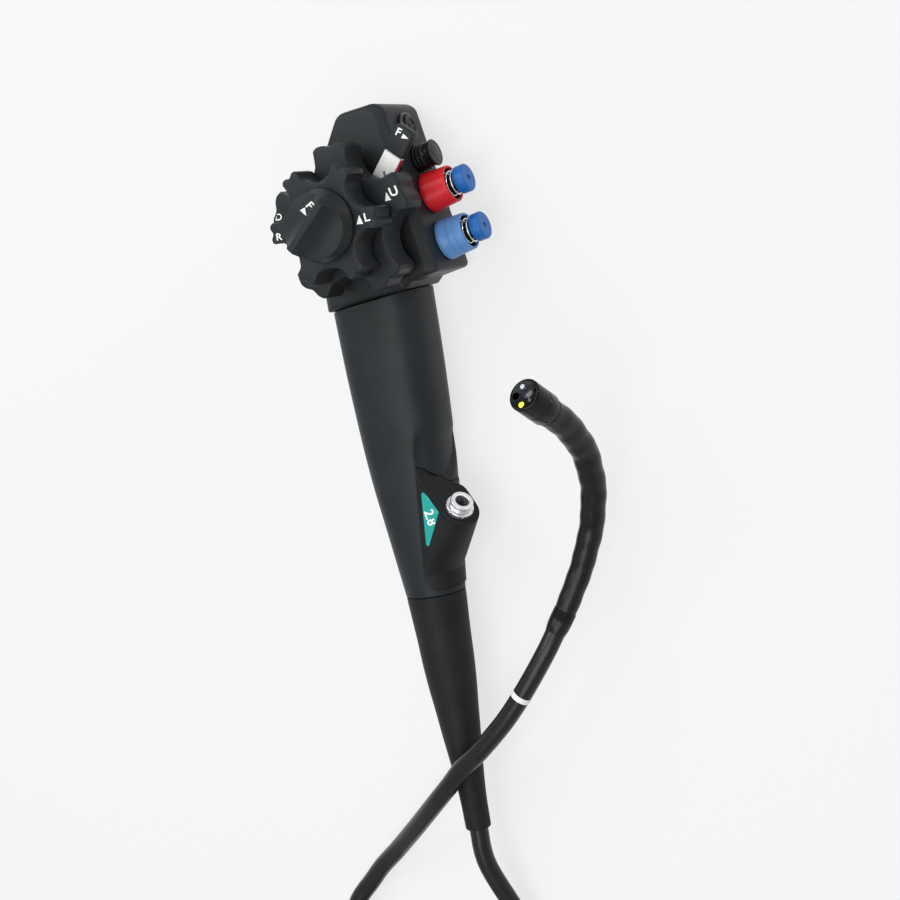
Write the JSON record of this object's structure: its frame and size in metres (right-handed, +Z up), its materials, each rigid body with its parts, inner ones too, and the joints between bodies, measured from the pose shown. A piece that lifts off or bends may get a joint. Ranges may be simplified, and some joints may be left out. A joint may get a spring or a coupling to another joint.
{
  "type": "flexible endoscope",
  "caption": "Flexible endoscope with angulation knobs, brakes, valve buttons, channel port, coiled insertion tube and a jointed bending section",
  "frame": {"origin": "foot of the angulation knob axis on the resting plane, at the flat back of the head", "axes": "+Z up along the knob axis, +Y towards the top of the head, +X towards the valves"},
  "size_m": [0.184, 0.4813, 0.0855],
  "materials": {
    "black_gloss": "polished polymer",
    "black_resin": "fine textured moulding",
    "black_soft": "smooth elastomer",
    "brass": "machined",
    "bright_blue": "satin",
    "dark_steel": "blackened steel",
    "lens": "polished optical window",
    "light_guide": "polished fibre bundle end",
    "pale_blue": "satin",
    "red_resin": "satin",
    "steel": "machined stainless steel",
    "white_resin": "satin"
  },
  "bodies": {
    "control_section": {"air_water_collar": "pale_blue", "air_water_sleeve": "steel", "air_water_spring": "steel", "back_cover": "black_resin", "bend_ferrule": "steel", "bend_protector": "black_soft", "bending_rubber": "black_soft", "channel_port": "steel", "chassis_plate": "dark_steel", "cord_socket": "dark_steel", "freeze_rim": "dark_steel", "grip_shell": "black_resin", "head_housing": "black_resin", "insertion_tube_a": "black_gloss", "insertion_tube_b": "black_gloss", "knob_post": "steel", "port_housing": "black_soft", "suction_collar": "red_resin", "suction_sleeve": "steel", "suction_spring": "steel", "switch_collar": "black_soft", "tube_coil": "black_gloss"},
    "ud_knob": {"ud_knob": "black_resin", "ud_shaft": "steel", "ud_sprocket": "brass"},
    "lr_knob": {"lr_knob": "black_resin", "lr_shaft": "steel", "lr_sprocket": "brass"},
    "lr_brake": {"lr_brake_knob": "black_resin"},
    "ud_brake": {"ud_brake_lever": "white_resin", "ud_brake_tip": "black_resin"},
    "suction_button": {"suction_piston": "steel", "suction_cap": "bright_blue"},
    "air_water_button": {"air_water_piston": "steel", "air_water_cap": "bright_blue"},
    "remote_switch": {"switch_button": "black_gloss"},
    "freeze_switch": {"freeze_button": "black_soft"},
    "link_01": {"bend_link_01": "steel"},
    "link_02": {"bend_link_02": "steel"},
    "link_03": {"bend_link_03": "steel"},
    "link_04": {"bend_link_04": "steel"},
    "link_05": {"bend_link_05": "steel"},
    "link_06": {"bend_link_06": "steel"},
    "link_07": {"bend_link_07": "steel"},
    "link_08": {"bend_link_08": "steel"},
    "link_09": {"bend_link_09": "steel"},
    "link_10": {"bend_link_10": "steel"},
    "link_11": {"bend_link_11": "steel"},
    "distal_end": {"tip_socket": "steel", "distal_tip": "black_gloss", "camera_lens": "lens", "light_guide_left": "light_guide", "light_guide_right": "light_guide", "air_water_nozzle": "steel"}
  },
  "joints": [
    {"name": "ud_knob_turn", "type": "hinge", "parent": "control_section", "child": "ud_knob", "pos_m": [0, 0, 0.05], "axis": [0, 0, 1], "range_deg": [-180, 85]},
    {"name": "lr_knob_turn", "type": "hinge", "parent": "control_section", "child": "lr_knob", "pos_m": [0, 0, 0.065], "axis": [0, 0, 1], "range_deg": [-85, 104]},
    {"name": "lr_brake_turn", "type": "hinge", "parent": "control_section", "child": "lr_brake", "pos_m": [0, 0, 0.078], "axis": [0, 0, 1], "range_deg": [0, 45]},
    {"name": "ud_brake_turn", "type": "hinge", "parent": "control_section", "child": "ud_brake", "pos_m": [0, 0, 0.039], "axis": [0, 0, 1], "range_deg": [0, 40]},
    {"name": "suction_press", "type": "slide", "parent": "control_section", "child": "suction_button", "axis": [-0.9848, -0.1736, 0], "range_m": [0, 0.004], "stiffness_N_per_m": 600, "springref_m": -0.003, "deforming": ["suction_spring"]},
    {"name": "air_water_press", "type": "slide", "parent": "control_section", "child": "air_water_button", "axis": [-0.9848, -0.1736, 0], "range_m": [0, 0.004], "stiffness_N_per_m": 600, "springref_m": -0.003, "deforming": ["air_water_spring"]},
    {"name": "remote_switch_press", "type": "slide", "parent": "control_section", "child": "remote_switch", "axis": [-0.9848, -0.1736, 0], "range_m": [0, 0.0015], "stiffness_N_per_m": 500, "springref_m": -0.0015},
    {"name": "freeze_switch_press", "type": "slide", "parent": "control_section", "child": "freeze_switch", "axis": [-0.9848, -0.1736, 0], "range_m": [0, 0.0015], "stiffness_N_per_m": 500, "springref_m": -0.0015},
    {"name": "ud_hinge_1", "type": "hinge", "parent": "control_section", "child": "link_01", "pos_m": [0.05548, -0.17734, 0.02259], "axis": [0.8465, -0.3731, 0.3798], "range_deg": [-29, 14], "deforming": ["bending_rubber"]},
    {"name": "lr_hinge_1", "type": "hinge", "parent": "link_01", "child": "link_02", "pos_m": [0.05996, -0.16895, 0.02084], "axis": [0.2624, -0.3284, -0.9074], "range_deg": [-14, 17]},
    {"name": "ud_hinge_2", "type": "hinge", "parent": "link_02", "child": "link_03", "pos_m": [0.06444, -0.16056, 0.0191], "axis": [0.8465, -0.3731, 0.3798], "range_deg": [-29, 14]},
    {"name": "lr_hinge_2", "type": "hinge", "parent": "link_03", "child": "link_04", "pos_m": [0.06838, -0.15173, 0.01899], "axis": [0.3424, -0.1648, -0.925], "range_deg": [-14, 17]},
    {"name": "ud_hinge_3", "type": "hinge", "parent": "link_04", "child": "link_05", "pos_m": [0.07233, -0.1429, 0.01888], "axis": [0.8465, -0.3731, 0.3798], "range_deg": [-29, 14]},
    {"name": "lr_hinge_3", "type": "hinge", "parent": "link_05", "child": "link_06", "pos_m": [0.07526, -0.13396, 0.02113], "axis": [0.4379, 0.082, -0.8953], "range_deg": [-14, 17]},
    {"name": "ud_hinge_4", "type": "hinge", "parent": "link_06", "child": "link_07", "pos_m": [0.07819, -0.12502, 0.02338], "axis": [0.8465, -0.3731, 0.3798], "range_deg": [-29, 14]},
    {"name": "lr_hinge_4", "type": "hinge", "parent": "link_07", "child": "link_08", "pos_m": [0.07962, -0.1168, 0.02826], "axis": [0.5113, 0.371, -0.7752], "range_deg": [-14, 17]},
    {"name": "ud_hinge_5", "type": "hinge", "parent": "link_08", "child": "link_09", "pos_m": [0.08106, -0.10858, 0.03314], "axis": [0.8465, -0.3731, 0.3798], "range_deg": [-29, 14]},
    {"name": "lr_hinge_5", "type": "hinge", "parent": "link_09", "child": "link_10", "pos_m": [0.08085, -0.10191, 0.04014], "axis": [0.532, 0.6205, -0.5762], "range_deg": [-14, 17]},
    {"name": "ud_hinge_6", "type": "hinge", "parent": "link_10", "child": "link_11", "pos_m": [0.08066, -0.09524, 0.04714], "axis": [0.8465, -0.3731, 0.3798], "range_deg": [-29, 14]},
    {"name": "lr_hinge_6", "type": "hinge", "parent": "link_11", "child": "distal_end", "pos_m": [0.07932, -0.09006, 0.0552], "axis": [0.5142, 0.7579, -0.4015], "range_deg": [-14, 17]}
  ],
  "couplings": [
    {"joint": "ud_hinge_1", "follows": "ud_knob_turn", "ratio": 0.16},
    {"joint": "lr_hinge_1", "follows": "lr_knob_turn", "ratio": 0.16},
    {"joint": "ud_hinge_2", "follows": "ud_knob_turn", "ratio": 0.16},
    {"joint": "lr_hinge_2", "follows": "lr_knob_turn", "ratio": 0.16},
    {"joint": "ud_hinge_3", "follows": "ud_knob_turn", "ratio": 0.16},
    {"joint": "lr_hinge_3", "follows": "lr_knob_turn", "ratio": 0.16},
    {"joint": "ud_hinge_4", "follows": "ud_knob_turn", "ratio": 0.16},
    {"joint": "lr_hinge_4", "follows": "lr_knob_turn", "ratio": 0.16},
    {"joint": "ud_hinge_5", "follows": "ud_knob_turn", "ratio": 0.16},
    {"joint": "lr_hinge_5", "follows": "lr_knob_turn", "ratio": 0.16},
    {"joint": "ud_hinge_6", "follows": "ud_knob_turn", "ratio": 0.16},
    {"joint": "lr_hinge_6", "follows": "lr_knob_turn", "ratio": 0.16}
  ]
}
